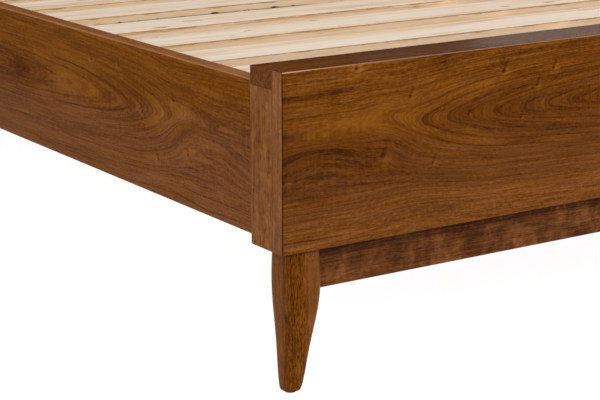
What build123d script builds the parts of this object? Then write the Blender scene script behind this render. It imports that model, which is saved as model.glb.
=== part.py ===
"""A queen-size wooden bed with a low flat footboard, tapered legs and a swept sleigh headboard.

Millimetres. +X is to the right seen from the foot, +Y runs from the foot to the head, +Z is up.
The pieces are drawn with y = 0 at the footboard's front face and moved together when they are
written, so that the finished bed stands centred on the origin with the floor at z = 0.
"""
import math
import os

from build123d import *

os.makedirs("parts", exist_ok=True)

# ---------------------------------------------------------------- driving dimensions
# The mattress and the room it is given
mattress_width = 1524.0
mattress_length = 2032.0
mattress_side_gap = 8.0
mattress_end_gap = 8.0

# Heights of the low frame
leg_height = 194.0           # floor to the underside of the footboard
footboard_height = 229.0
rail_drop = 19.0             # top of a side rail below the top of the footboard
rail_lift = 11.0             # bottom of a side rail above the bottom of the footboard
deck_depth = 39.0            # slat tops below the top of a side rail

# Board stock
panel_thick = 19.0
edge_band_thick = 1.5
post_width = 51.0
foot_post_depth = 51.0
foot_cap_thick = 23.0
inner_rail_thick = 22.0
bottom_rail_thick = 19.0
apron_thick = 19.0
apron_height = 60.0
apron_end_clearance = 0.3    # between an apron's ends and the fullest part of the leg blocks
side_rail_thick = 23.0
side_rail_inset = 4.0        # outer face of a side rail inside the outer face of the posts
lipping_height = 6.0
lipping_offcut_length = 88.0  # short end piece of the lipping, measured on its outer edge
lipping_scarf = 19.0         # run of the sloping joint between the two pieces of lipping
arris = 1.2                  # softened edges of the panel, the rails and the slats
post_arris = 2.5             # softened long edges of the headboard posts and the centre legs
end_corner_radius = 3.0      # rounding of the posts' lower inner corner

# Legs: square block with round corners that tapers to a small round foot
leg_block = 52.0
leg_corner_radius = 16.0
leg_side_inset = 18.5
leg_front_inset = 9.5
leg_straight = 74.0
leg_swell = 0.8              # the block swells this much on each side
leg_foot_diameter = 26.0
leg_foot_inset = 35.5        # axis of the foot from the outer face of the posts
leg_foot_round = 4.5
leg_blend = 20.0             # height over which the taper begins
glide_diameter = 15.0
glide_thick = 2.0

# Headboard, swept backwards in one arc
head_post_depth = 70.0
head_rail_thick = 22.0
head_straight_top = 404.0    # height where the sweep begins
head_sweep_radius = 1100.0
head_sweep_angle = 32.0
head_groove_depth = 10.0
head_cap_thick = 26.0
head_cap_nose = 7.0          # overhang of the cap in front of the posts
head_roll_radius = 27.0
head_roll_gap = 0.3          # space between the roll and the back of the posts

# Slats
slat_width = 89.0
slat_thick = 13.0
slat_end_clearance = 1.0
slat_end_gap = 37.0          # first and last slat from the footboard and the headboard
slat_shifts = [0, 2, 4, 9, 7, 25, 20, 6, -5, 4, -7, 5, -3, 0]  # laid by hand, off the even spacing

# What carries the slats
ledger_thick = 25.0
ledger_height = 35.0
ledger_end_clearance = 2.0
beam_width = 40.0
beam_height = 70.0
centre_leg_size = 45.0
centre_leg_spacing = 700.0

# Beam saddles, bent from sheet steel
saddle_sheet = 2.5
saddle_reach = 45.0
saddle_cheek = 45.0
saddle_back_width = 84.0
saddle_back_height = 62.0
saddle_clearance = 0.3
saddle_screw_edge = 10.0     # screws in from the sides of the back plate
saddle_screw_pitch = 34.0

# Hook-and-slot rail fasteners
plate_width = 16.0
plate_height = 130.0
plate_thick = 2.5
hook_pitch = 64.0
hook_thick = 3.0
hook_height = 24.0
hook_neck = 16.0             # height of the neck that passes through the slot
hook_reach = 9.0             # how far the hook stands into the post, past the slotted plate
hook_clearance = 0.3
slot_lift = 10.0             # extra height of the slot, to lift the hook in
plate_screw_pitch = 108.0

# Levelling feet of the centre legs
thread_diameter = 8.0
leveller_travel = 12.0
leveller_pad_diameter = 38.0
leveller_pad_height = 8.0
leveller_socket_depth = 5.0
leveller_collar_height = 5.0
leveller_collar_flats = 13.0
leveller_collar_gap = 0.3
leveller_stop_gap = 0.5
leveller_engagement = 28.0     # thread left in the leg with the foot screwed right out
insert_diameter = 13.0
insert_length = 15.0
running_clearance = 0.08

# Fasteners
screw_shank = 4.0
screw_head = 8.0
screw_head_height = 2.5
plate_screw_length = 30.0
slat_screw_length = 35.0
slat_screw_edge = 19.0       # screws in from the long edges of a slat
ledger_screw_length = 38.0
ledger_screw_count = 8
ledger_screw_end = 120.0
ledger_screw_height = 9.0    # above the bottom of the ledger
bracket_screw_length = 18.0
bolt_diameter = 8.0
leg_bolt_grip = 35.0         # length of a leg bolt in the post, and again in the leg
leg_bolt_offset = 9.0        # bolt axis outward from the centre of the leg block
beam_bolt_length = 120.0
beam_bolt_head = 20.0
beam_bolt_head_height = 5.0
dowel_diameter = 10.0
dowel_upper = 15.0
dowel_lower = 25.0
dowel_offset = 17.0          # leg dowel inward from the centre of the leg block
fastener_clearance = 0.1     # all round a screw, bolt or dowel
fastener_end_clearance = 0.5

# ---------------------------------------------------------------- sizes that follow
clear_width = mattress_width + 2 * mattress_side_gap
clear_length = mattress_length + 2 * mattress_end_gap
rail_inner_x = clear_width / 2
rail_outer_x = rail_inner_x + side_rail_thick
side_x = rail_outer_x + side_rail_inset
post_inner_x = side_x - post_width

footboard_bottom = leg_height
footboard_top = leg_height + footboard_height
rail_top = footboard_top - rail_drop
rail_bottom = footboard_bottom + rail_lift
deck_top = rail_top - deck_depth
deck_under = deck_top - slat_thick

foot_inner_y = panel_thick + foot_post_depth
head_y = foot_inner_y + clear_length
middle_y = (foot_inner_y + head_y) / 2
sweep = math.radians(head_sweep_angle)
sweep_centre_y = head_y + head_sweep_radius
post_tip_y = sweep_centre_y - head_sweep_radius * math.cos(sweep)
post_tip_z = head_straight_top + head_sweep_radius * math.sin(sweep)
roll_back = head_post_depth + head_roll_gap + head_roll_radius
roll_rise = head_cap_thick - head_roll_radius
roll_y = post_tip_y + roll_back * math.cos(sweep) + roll_rise * math.sin(sweep)
overall_length = roll_y + head_roll_radius

leg_centre_x = side_x - leg_side_inset - leg_block / 2
leg_foot_x = side_x - leg_foot_inset
foot_leg_y = leg_front_inset + leg_block / 2
head_leg_y = head_y + head_post_depth / 2

rail_mid_x = (rail_inner_x + rail_outer_x) / 2
rail_mid_z = (rail_top + rail_bottom) / 2
ledger_x = rail_inner_x - ledger_thick / 2
shank_radius = screw_shank / 2
bolt_radius = bolt_diameter / 2
dowel_radius = dowel_diameter / 2


# ---------------------------------------------------------------- helpers
def span(x0, x1, y0, y1, z0, z1):
    """A box between two corners."""
    size = (x1 - x0, y1 - y0, z1 - z0)
    return Pos((x0 + x1) / 2, (y0 + y1) / 2, (z0 + z1) / 2) * Box(*size)


def rod(radius, z0, z1):
    """An upright cylinder on the Z axis between two heights."""
    return Pos(0, 0, (z0 + z1) / 2) * Cylinder(radius, z1 - z0)


def mirrored(solid):
    """The same piece on the other side of the bed."""
    return mirror(solid, about=Plane.YZ)


def both_sides(solids):
    """Every piece of a list, with its twin on the other side of the bed."""
    return list(solids) + [mirrored(solid) for solid in solids]


def drill(solid, cutters):
    """Cut a list of holes out of a solid."""
    for cutter in cutters:
        solid = solid - cutter
    return solid


def edges_at(solid, along, *places):
    """The straight edges of a solid along one axis that pass through (axis, value) places."""
    found = solid.edges().filter_by(along)
    for axis, value in places:
        found = found.filter_by_position(axis, value - 0.001, value + 0.001)
    return found


def screw(length, clearance=0.0):
    """A countersunk screw that points down, with its head's top at the origin."""
    head_bottom = -screw_head_height
    tip = -length - (fastener_end_clearance if clearance else 0)
    neck = Pos(0, 0, head_bottom / 2) * Cone(
        shank_radius + clearance, screw_head / 2 + clearance, screw_head_height
    )
    return neck + rod(shank_radius + clearance, tip, head_bottom)


def dowel(clearance=0.0):
    """A dowel across the plane z = 0, or the hole for one."""
    end = fastener_end_clearance if clearance else 0
    return rod(dowel_radius + clearance, -dowel_lower - end, dowel_upper + end)


def leg_bolt(clearance=0.0):
    """A hanger bolt across the plane z = 0, or the hole for one."""
    end = fastener_end_clearance if clearance else 0
    return rod(bolt_radius + clearance, -leg_bolt_grip - end, leg_bolt_grip + end)


def towards_foot(x, y, z):
    """A place where a screw drives towards the footboard: its axis turned from -Z to -Y."""
    return Pos(x, y, z) * Rot(-90, 0, 0)


def towards_head(x, y, z):
    """A place where a screw drives towards the headboard: its axis turned from -Z to +Y."""
    return Pos(x, y, z) * Rot(90, 0, 0)


def outwards(x, y, z):
    """A place where a screw drives towards +X, out through a side rail."""
    return Pos(x, y, z) * Rot(0, -90, 0)


# ---------------------------------------------------------------- legs
def leg_section(z, width, centre_x, radius):
    """One rounded-square section of a leg, at height z."""
    return Pos(centre_x, 0, z) * RectangleRounded(width, width, radius)


def leg():
    """A right-hand leg about the line x = leg_centre_x, y = 0, with its top at leg_height."""
    bottom = glide_thick
    kink = leg_height - leg_straight
    swollen = leg_block + 2 * leg_swell

    def tapered(z):
        share = (kink - z) / (kink - bottom)
        width = leg_block + share * (leg_foot_diameter - leg_block)
        centre_x = leg_centre_x + share * (leg_foot_x - leg_centre_x)
        radius = leg_corner_radius + share * (leg_foot_diameter / 2 - leg_corner_radius)
        return leg_section(z, width, centre_x, min(radius, width / 2 - 0.05))

    sections = [
        leg_section(leg_height, leg_block, leg_centre_x, leg_corner_radius),
        leg_section(leg_height - leg_straight / 2, swollen, leg_centre_x, leg_corner_radius),
        leg_section(kink + leg_blend / 2, leg_block + leg_swell, leg_centre_x, leg_corner_radius),
        tapered(kink - leg_blend / 2),
        tapered((kink + bottom) / 2),
        tapered(bottom),
    ]
    body = loft(sections)
    foot_edges = body.edges().group_by(Axis.Z)[0]
    return fillet(foot_edges, leg_foot_round)


leg_bolt_place = Pos(leg_centre_x + leg_bolt_offset, 0, leg_height)
leg_dowel_place = Pos(leg_centre_x - dowel_offset, 0, leg_height)
right_leg = drill(
    leg(),
    [leg_bolt_place * leg_bolt(fastener_clearance), leg_dowel_place * dowel(fastener_clearance)],
)
foot_leg_right = Pos(0, foot_leg_y, 0) * right_leg
head_leg_right = Pos(0, head_leg_y, 0) * right_leg

leg_ys = (foot_leg_y, head_leg_y)
leg_bolts = both_sides([Pos(0, y, 0) * leg_bolt_place * leg_bolt() for y in leg_ys])
leg_bolt_holes = [Pos(0, y, 0) * leg_bolt_place * leg_bolt(fastener_clearance) for y in leg_ys]
leg_dowels = both_sides([Pos(0, y, 0) * leg_dowel_place * dowel() for y in leg_ys])
leg_dowel_holes = both_sides(
    [Pos(0, y, 0) * leg_dowel_place * dowel(fastener_clearance) for y in leg_ys]
)
glides = both_sides(
    [Pos(leg_foot_x, y, 0) * rod(glide_diameter / 2, 0, glide_thick) for y in leg_ys]
)


# ---------------------------------------------------------------- rail fasteners
def plate_space(y, direction):
    """The flat space of a fastener plate that lies from y towards direction (+1 is the head)."""
    return span(
        rail_mid_x - plate_width / 2,
        rail_mid_x + plate_width / 2,
        *sorted((y, y + direction * plate_thick)),
        rail_mid_z - plate_height / 2,
        rail_mid_z + plate_height / 2,
    )


def hook_space(half_width, y0, y1, low, high):
    """A box about the middle of the rail's thickness."""
    return span(rail_mid_x - half_width, rail_mid_x + half_width, *sorted((y0, y1)), low, high)


hook_tops = [rail_mid_z + level + hook_height / 2 for level in (-hook_pitch / 2, hook_pitch / 2)]
slot_half_width = hook_thick / 2 + hook_clearance


def hook_plate(y, direction):
    """Steel plate let into the end of a right-hand side rail, with hooks that reach into the post.

    y is where the rail meets the post; direction is +1 when the post is on the +Y side.
    """
    plate = plate_space(y, -direction)
    tip = y + direction * (plate_thick + hook_reach)
    catch = y + direction * (plate_thick + hook_clearance)
    for top in hook_tops:
        plate += hook_space(hook_thick / 2, y, tip, top - hook_neck, top)
        plate += hook_space(hook_thick / 2, catch, tip, top - hook_height, top - hook_neck)
    return plate


def slot_plate(y, direction):
    """Slotted steel plate let into a right-hand post."""
    plate = plate_space(y, direction)
    back = y + direction * plate_thick
    for top in hook_tops:
        plate -= hook_space(slot_half_width, y, back, top - hook_neck - hook_clearance, top + slot_lift)
    return plate


def hook_pocket(y, direction):
    """Room in a right-hand post for the slotted plate and for the hooks behind it."""
    pocket = plate_space(y, direction)
    back = y + direction * (plate_thick + hook_reach + hook_clearance)
    for top in hook_tops:
        pocket += hook_space(slot_half_width, y, back, top - hook_height - hook_clearance, top + slot_lift)
    return pocket


def plate_screws(place, clearance=0.0):
    """The two screws of one plate, driven the way that place turns them."""
    levels = (-plate_screw_pitch / 2, plate_screw_pitch / 2)
    return [place(rail_mid_z + level) * screw(plate_screw_length, clearance) for level in levels]


# Seat of the screw heads: the visible face of each plate, with the other plate against it
plate_screw_places = {
    "foot_post": lambda z: towards_foot(rail_mid_x, foot_inner_y, z),
    "rail_foot_end": lambda z: towards_head(rail_mid_x, foot_inner_y, z),
    "rail_head_end": lambda z: towards_foot(rail_mid_x, head_y, z),
    "head_post": lambda z: towards_head(rail_mid_x, head_y, z),
}
plate_screw_holes = {
    name: plate_screws(place, fastener_clearance) for name, place in plate_screw_places.items()
}
rail_plate_screws = both_sides(
    [solid for place in plate_screw_places.values() for solid in plate_screws(place)]
)
right_hook_plates = [
    drill(hook_plate(foot_inner_y, -1), plate_screw_holes["rail_foot_end"]),
    drill(hook_plate(head_y, 1), plate_screw_holes["rail_head_end"]),
]
right_slot_plates = [
    drill(slot_plate(foot_inner_y, -1), plate_screw_holes["foot_post"]),
    drill(slot_plate(head_y, 1), plate_screw_holes["head_post"]),
]

# ---------------------------------------------------------------- footboard
band_inner_x = side_x - edge_band_thick
foot_panel = span(-band_inner_x, band_inner_x, 0, panel_thick, footboard_bottom, footboard_top)
foot_panel = fillet(edges_at(foot_panel, Axis.X, (Axis.Y, 0), (Axis.Z, footboard_top)), arris)

edge_band = span(band_inner_x, side_x, 0, panel_thick, footboard_bottom, footboard_top)
edge_band = fillet(
    edges_at(edge_band, Axis.Z, (Axis.X, side_x), (Axis.Y, 0))
    + edges_at(edge_band, Axis.Y, (Axis.X, side_x), (Axis.Z, footboard_top)),
    arris,
)

foot_cap_bottom = footboard_top - foot_cap_thick
foot_cap_rail = span(-side_x, side_x, panel_thick, foot_inner_y, foot_cap_bottom, footboard_top)
foot_cap_rail = fillet(
    edges_at(foot_cap_rail, Axis.X, (Axis.Y, foot_inner_y), (Axis.Z, footboard_top))
    + edges_at(foot_cap_rail, Axis.Y, (Axis.Z, footboard_top))
    + edges_at(foot_cap_rail, Axis.Z, (Axis.Y, foot_inner_y)),
    arris,
)

post_mid_x = (post_inner_x + side_x) / 2
foot_dowel_place = Pos(post_mid_x, panel_thick + foot_post_depth / 2, foot_cap_bottom)
foot_cap_rail = drill(foot_cap_rail, both_sides([foot_dowel_place * dowel(fastener_clearance)]))

foot_post_right = span(post_inner_x, side_x, panel_thick, foot_inner_y, footboard_bottom, foot_cap_bottom)
post_toe = edges_at(foot_post_right, Axis.X, (Axis.Y, foot_inner_y), (Axis.Z, footboard_bottom))
foot_post_right = fillet(post_toe, end_corner_radius)
post_edge = edges_at(foot_post_right, Axis.Z, (Axis.X, side_x), (Axis.Y, foot_inner_y))
foot_post_right = fillet(post_edge, arris)
foot_post_right = drill(
    foot_post_right,
    [hook_pocket(foot_inner_y, -1), foot_dowel_place * dowel(fastener_clearance)]
    + plate_screw_holes["foot_post"]
    + leg_bolt_holes,
)

bottom_rail_top = footboard_bottom + bottom_rail_thick
inner_rail_y = foot_inner_y - inner_rail_thick
foot_bottom_rail = span(
    -post_inner_x, post_inner_x, panel_thick, inner_rail_y, footboard_bottom, bottom_rail_top
)
foot_bottom_rail = drill(foot_bottom_rail, leg_dowel_holes)
foot_inner_rail = span(
    -post_inner_x, post_inner_x, inner_rail_y, foot_inner_y, footboard_bottom, foot_cap_bottom
)


def apron(leg_y):
    """The thin rail between two legs, on the centre line of their blocks."""
    reach = leg_centre_x - leg_block / 2 - leg_swell - apron_end_clearance
    low = footboard_bottom - apron_height
    half = apron_thick / 2
    board = span(-reach, reach, leg_y - half, leg_y + half, low, footboard_bottom)
    return fillet(edges_at(board, Axis.X, (Axis.Z, low)), arris)


foot_apron = apron(foot_leg_y)
head_apron = apron(head_leg_y)


# ---------------------------------------------------------------- headboard
def swept_layer(front, back, bottom, x0, x1):
    """A board of the headboard between two depths behind its front face, swept backwards at the top."""
    outer = head_sweep_radius - front
    inner = head_sweep_radius - back

    def on_arc(radius, angle):
        return (sweep_centre_y - radius * math.cos(angle), head_straight_top + radius * math.sin(angle))

    low_front = (head_y + front, bottom)
    low_back = (head_y + back, bottom)
    outline = [
        Line(low_front, on_arc(outer, 0)),
        ThreePointArc(on_arc(outer, 0), on_arc(outer, sweep / 2), on_arc(outer, sweep)),
        Line(on_arc(outer, sweep), on_arc(inner, sweep)),
        ThreePointArc(on_arc(inner, sweep), on_arc(inner, sweep / 2), on_arc(inner, 0)),
        Line(on_arc(inner, 0), low_back),
        Line(low_back, low_front),
    ]
    profile = Plane.YZ.offset(x0) * make_face(Wire(outline))
    return extrude(profile, amount=x1 - x0, dir=(1, 0, 0))


post_tip = Plane(
    origin=(0, post_tip_y, post_tip_z),
    x_dir=(0, math.cos(sweep), -math.sin(sweep)),
    z_dir=(1, 0, 0),
)
head_dowel_place = Pos(post_mid_x, post_tip_y, post_tip_z) * Rot(-head_sweep_angle, 0, 0)
head_dowel_place = head_dowel_place * Pos(0, head_post_depth / 2, 0)

panel_front = head_rail_thick
panel_back = head_rail_thick + panel_thick
head_panel_reach = post_inner_x + head_groove_depth - fastener_end_clearance
head_panel = swept_layer(panel_front, panel_back, bottom_rail_top, -head_panel_reach, head_panel_reach)
panel_groove = swept_layer(
    panel_front, panel_back, bottom_rail_top, post_inner_x, post_inner_x + head_groove_depth
)

head_post_right = swept_layer(0, head_post_depth, footboard_bottom, post_inner_x, side_x)
head_post_right = fillet(edges_at(head_post_right, Axis.Z, (Axis.X, side_x)), post_arris)
head_post_right = drill(
    head_post_right,
    [panel_groove, hook_pocket(head_y, 1), head_dowel_place * dowel(fastener_clearance)]
    + plate_screw_holes["head_post"]
    + leg_bolt_holes,
)

head_lower_rail = span(
    -post_inner_x, post_inner_x, head_y, head_y + head_rail_thick, footboard_bottom, rail_top
)
head_lower_rail = fillet(edges_at(head_lower_rail, Axis.X, (Axis.Y, head_y), (Axis.Z, rail_top)), arris)
head_bottom_rail = span(
    -post_inner_x,
    post_inner_x,
    head_y + head_rail_thick,
    head_y + head_post_depth,
    footboard_bottom,
    bottom_rail_top,
)
head_bottom_rail = drill(head_bottom_rail, leg_dowel_holes)


def rolled_cap():
    """The top rail of the headboard: a flat cap that ends in a round roll behind the posts."""
    cap = Pos((roll_back - head_cap_nose) / 2, head_cap_thick / 2) * Rectangle(
        roll_back + head_cap_nose, head_cap_thick
    )
    roll = Pos(roll_back, roll_rise) * Circle(head_roll_radius)
    profile = cap + roll
    nose = profile.vertices().group_by(Axis.X)[0]
    profile = fillet(nose, head_cap_nose)
    return extrude(post_tip.offset(-side_x) * profile, amount=2 * side_x, dir=(1, 0, 0))


head_cap_rail = drill(rolled_cap(), both_sides([head_dowel_place * dowel(fastener_clearance)]))
cap_dowels = both_sides([foot_dowel_place * dowel(), head_dowel_place * dowel()])

# ---------------------------------------------------------------- side rails
rail_core_top = rail_top - lipping_height
side_rail_right = span(rail_inner_x, rail_outer_x, foot_inner_y, head_y, rail_bottom, rail_core_top)
side_rail_right = fillet(edges_at(side_rail_right, Axis.Y, (Axis.Z, rail_bottom)), arris)


def lipping():
    """The two pieces of timber strip on a right-hand rail, joined by a sloping cut near the foot."""
    strip = span(rail_inner_x, rail_outer_x, foot_inner_y, head_y, rail_core_top, rail_top)
    strip = fillet(edges_at(strip, Axis.Y, (Axis.X, rail_outer_x), (Axis.Z, rail_top)), arris)
    joint_y = foot_inner_y + lipping_offcut_length
    corner_points = [
        (rail_inner_x, foot_inner_y),
        (rail_outer_x, foot_inner_y),
        (rail_outer_x, joint_y),
        (rail_inner_x, joint_y + lipping_scarf),
    ]
    wedge = Pos(0, 0, rail_core_top) * make_face(Polyline(*corner_points, close=True))
    wedge = extrude(wedge, amount=lipping_height, dir=(0, 0, 1))
    return [strip & wedge, strip - wedge]


ledger_bottom = deck_under - ledger_height
ledger = span(
    rail_inner_x - ledger_thick,
    rail_inner_x,
    foot_inner_y + ledger_end_clearance,
    head_y - ledger_end_clearance,
    ledger_bottom,
    deck_under,
)
ledger_screw_run = clear_length - 2 * ledger_screw_end
ledger_screw_places = [
    outwards(
        rail_inner_x - ledger_thick,
        foot_inner_y + ledger_screw_end + index * ledger_screw_run / (ledger_screw_count - 1),
        ledger_bottom + ledger_screw_height,
    )
    for index in range(ledger_screw_count)
]
ledger_screws = both_sides([place * screw(ledger_screw_length) for place in ledger_screw_places])
ledger_screw_holes = [
    place * screw(ledger_screw_length, fastener_clearance) for place in ledger_screw_places
]

side_rail_right = drill(
    side_rail_right,
    [plate_space(foot_inner_y, 1), plate_space(head_y, -1)]
    + plate_screw_holes["rail_foot_end"]
    + plate_screw_holes["rail_head_end"]
    + ledger_screw_holes,
)

# ---------------------------------------------------------------- slats
slat_count = len(slat_shifts)
first_slat_y = foot_inner_y + slat_end_gap
slat_pitch = (clear_length - 2 * slat_end_gap - slat_width) / (slat_count - 1)
slat_ys = [first_slat_y + index * slat_pitch + shift for index, shift in enumerate(slat_shifts)]
slat_reach = rail_inner_x - slat_end_clearance


def slat_screw_places(y):
    """Two screws at the right-hand end of the slat whose near edge is at y."""
    edges = (y + slat_screw_edge, y + slat_width - slat_screw_edge)
    return [Pos(ledger_x, edge, deck_top) for edge in edges]


slats = []
slat_screws = []
for slat_y in slat_ys:
    places = slat_screw_places(slat_y)
    holes = [place * screw(slat_screw_length, fastener_clearance) for place in places]
    slat = span(-slat_reach, slat_reach, slat_y, slat_y + slat_width, deck_under, deck_top)
    slat = fillet(edges_at(slat, Axis.X, (Axis.Z, deck_top)), arris)
    slats.append(drill(slat, both_sides(holes)))
    slat_screws += both_sides([place * screw(slat_screw_length) for place in places])
    ledger = drill(ledger, holes)
ledger_right = drill(ledger, ledger_screw_holes)


# ---------------------------------------------------------------- centre beam and its saddles
def saddle(y, direction):
    """A U-shaped steel saddle on an end rail, with its open side towards the middle of the bed."""
    beam_bottom = deck_under - beam_height
    inner = beam_width / 2 + saddle_clearance
    outer = inner + saddle_sheet
    back_range = sorted((y, y + direction * saddle_sheet))
    reach_range = sorted((y, y + direction * (saddle_sheet + saddle_reach)))
    low = beam_bottom - saddle_sheet
    half_back = saddle_back_width / 2
    body = span(-half_back, half_back, *back_range, low, low + saddle_back_height)
    body += span(-outer, outer, *reach_range, low, beam_bottom)
    body += span(inner, outer, *reach_range, low, beam_bottom + saddle_cheek)
    body += span(-outer, -inner, *reach_range, low, beam_bottom + saddle_cheek)
    return body


def saddle_screws(y, turn, clearance=0.0):
    """Four screws through the back plate of a saddle."""
    centre = deck_under - beam_height - saddle_sheet + saddle_back_height / 2
    x = saddle_back_width / 2 - saddle_screw_edge
    return [
        turn(side * x, y, centre + level) * screw(bracket_screw_length, clearance)
        for side in (-1, 1)
        for level in (-saddle_screw_pitch / 2, saddle_screw_pitch / 2)
    ]


foot_saddle_y = foot_inner_y + saddle_sheet
head_saddle_y = head_y - saddle_sheet
foot_saddle_holes = saddle_screws(foot_saddle_y, towards_foot, fastener_clearance)
head_saddle_holes = saddle_screws(head_saddle_y, towards_head, fastener_clearance)
beam_bracket_foot = drill(saddle(foot_inner_y, 1), foot_saddle_holes)
beam_bracket_head = drill(saddle(head_y, -1), head_saddle_holes)
foot_inner_rail = drill(foot_inner_rail, foot_saddle_holes)
head_lower_rail = drill(head_lower_rail, head_saddle_holes)
bracket_screws = saddle_screws(foot_saddle_y, towards_foot) + saddle_screws(head_saddle_y, towards_head)


def beam_bolt(clearance=0.0):
    """A bolt down through the beam into a support leg, its head sunk below the slats."""
    end = fastener_end_clearance if clearance else 0
    head = rod(beam_bolt_head / 2 + clearance, -beam_bolt_head_height, 0)
    return head + rod(bolt_radius + clearance, -beam_bolt_length - end, -beam_bolt_head_height)


beam_bottom_z = deck_under - beam_height
centre_beam = span(
    -beam_width / 2, beam_width / 2, foot_saddle_y, head_saddle_y, beam_bottom_z, deck_under
)
centre_leg_ys = (middle_y - centre_leg_spacing / 2, middle_y + centre_leg_spacing / 2)

# ---------------------------------------------------------------- centre legs and levelling feet
collar_bottom = leveller_pad_height + leveller_collar_gap
collar_top = collar_bottom + leveller_collar_height
centre_leg_bottom = collar_top + leveller_stop_gap
stem_top = centre_leg_bottom + leveller_engagement + leveller_travel
thread_radius = thread_diameter / 2
socket_bottom = leveller_pad_height - leveller_socket_depth

leveller_stem = rod(thread_radius, socket_bottom + running_clearance, stem_top)
collar = Pos(0, 0, collar_bottom) * extrude(
    RegularPolygon(leveller_collar_flats / 2, 6, major_radius=False), amount=leveller_collar_height
)
leveller_stem += collar

leveller_pad = rod(leveller_pad_diameter / 2, 0, leveller_pad_height)
leveller_pad = fillet(leveller_pad.edges().group_by(Axis.Z)[-1], leveller_pad_height / 4)
leveller_pad -= rod(thread_radius + running_clearance, socket_bottom, leveller_pad_height)

insert_top = centre_leg_bottom + insert_length
insert = rod(insert_diameter / 2, centre_leg_bottom, insert_top)
insert -= rod(thread_radius + running_clearance, centre_leg_bottom, insert_top)

half_leg = centre_leg_size / 2
centre_leg = span(-half_leg, half_leg, -half_leg, half_leg, centre_leg_bottom, beam_bottom_z)
centre_leg = fillet(edges_at(centre_leg, Axis.Z), post_arris)
centre_leg -= rod(insert_diameter / 2 + fastener_clearance, centre_leg_bottom, insert_top)
centre_leg -= rod(thread_radius + fastener_clearance, centre_leg_bottom, stem_top + fastener_end_clearance)

bolt_place = Pos(0, 0, deck_under)
centre_leg -= bolt_place * beam_bolt(fastener_clearance)
centre_leg_bolts = []
for leg_y in centre_leg_ys:
    centre_beam -= Pos(0, leg_y, 0) * bolt_place * beam_bolt(fastener_clearance)
    centre_leg_bolts.append(Pos(0, leg_y, 0) * bolt_place * beam_bolt())

# ---------------------------------------------------------------- the finished bed
nodes = {
    "foot_panel": [foot_panel],
    "foot_panel_edge_left": [mirrored(edge_band)],
    "foot_panel_edge_right": [edge_band],
    "foot_cap_rail": [foot_cap_rail],
    "foot_post_left": [mirrored(foot_post_right)],
    "foot_post_right": [foot_post_right],
    "foot_inner_rail": [foot_inner_rail],
    "foot_bottom_rail": [foot_bottom_rail],
    "foot_apron": [foot_apron],
    "foot_leg_left": [mirrored(foot_leg_right)],
    "foot_leg_right": [foot_leg_right],
    "head_post_left": [mirrored(head_post_right)],
    "head_post_right": [head_post_right],
    "head_panel": [head_panel],
    "head_cap_rail": [head_cap_rail],
    "head_lower_rail": [head_lower_rail],
    "head_bottom_rail": [head_bottom_rail],
    "head_apron": [head_apron],
    "head_leg_left": [mirrored(head_leg_right)],
    "head_leg_right": [head_leg_right],
    "side_rail_left": [mirrored(side_rail_right)],
    "side_rail_right": [side_rail_right],
    "rail_lipping_left": [mirrored(piece) for piece in lipping()],
    "rail_lipping_right": lipping(),
    "slat_ledger_left": [mirrored(ledger_right)],
    "slat_ledger_right": [ledger_right],
    "rail_hook_plates": both_sides(right_hook_plates),
    "post_slot_plates": both_sides(right_slot_plates),
    "rail_plate_screws": rail_plate_screws,
    "ledger_screws": ledger_screws,
    "slat_screws": slat_screws,
    "centre_beam": [centre_beam],
    "beam_bracket_foot": [beam_bracket_foot],
    "beam_bracket_head": [beam_bracket_head],
    "bracket_screws": bracket_screws,
    "centre_leg_bolts": centre_leg_bolts,
    "leveller_inserts": [Pos(0, leg_y, 0) * insert for leg_y in centre_leg_ys],
    "leg_bolts": leg_bolts,
    "dowels": leg_dowels + cap_dowels,
    "leg_glides": glides,
}
for number, slat in enumerate(slats, start=1):
    nodes[f"slat_{number:02d}"] = [slat]
for number, leg_y in enumerate(centre_leg_ys, start=1):
    nodes[f"centre_leg_{number}"] = [Pos(0, leg_y, 0) * centre_leg]
    nodes[f"leveller_pad_{number}"] = [Pos(0, leg_y, 0) * leveller_pad]
    nodes[f"leveller_stem_{number}"] = [Pos(0, leg_y, 0) * leveller_stem]

to_centre = Pos(0, -overall_length / 2, 0)
for name, pieces in nodes.items():
    solids = [solid for piece in pieces for solid in (to_centre * piece).solids()]
    shape = solids[0] if len(solids) == 1 else Compound(children=solids)
    export_step(shape, f"parts/{name}.step")
print(len(nodes), "nodes; overall", 2 * side_x, overall_length)
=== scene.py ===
# %% [markdown]
# # A walnut bed with a slab footboard
#
# The construction of this bed is already made: every board, leg, slat and screw comes in as a
# fixed frame, at its real size, with z = 0 on the floor, the foot of the bed towards -Y and its
# left side towards -X. This lesson gives those pieces their looks: stained veneer with a flowing
# figure, solid timber with end grain, planed softwood and plated steel, all made from shader
# nodes, and a soft daylight studio to see them in.

import math

import bmesh
import bpy
from mathutils import Matrix, Vector


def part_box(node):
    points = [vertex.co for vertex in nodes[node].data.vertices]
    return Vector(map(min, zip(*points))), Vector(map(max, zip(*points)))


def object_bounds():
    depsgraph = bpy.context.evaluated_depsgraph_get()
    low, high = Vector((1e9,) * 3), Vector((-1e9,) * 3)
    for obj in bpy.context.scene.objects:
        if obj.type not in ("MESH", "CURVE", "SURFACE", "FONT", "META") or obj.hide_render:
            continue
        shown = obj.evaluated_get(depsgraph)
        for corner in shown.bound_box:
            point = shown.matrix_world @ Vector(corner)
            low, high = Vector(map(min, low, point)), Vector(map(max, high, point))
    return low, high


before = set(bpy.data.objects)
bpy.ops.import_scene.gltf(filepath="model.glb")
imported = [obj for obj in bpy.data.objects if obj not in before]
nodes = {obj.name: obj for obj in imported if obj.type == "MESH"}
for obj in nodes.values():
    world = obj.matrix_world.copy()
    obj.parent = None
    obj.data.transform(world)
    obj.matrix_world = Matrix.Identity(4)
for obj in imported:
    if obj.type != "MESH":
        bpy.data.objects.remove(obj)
cad_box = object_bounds()
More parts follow.
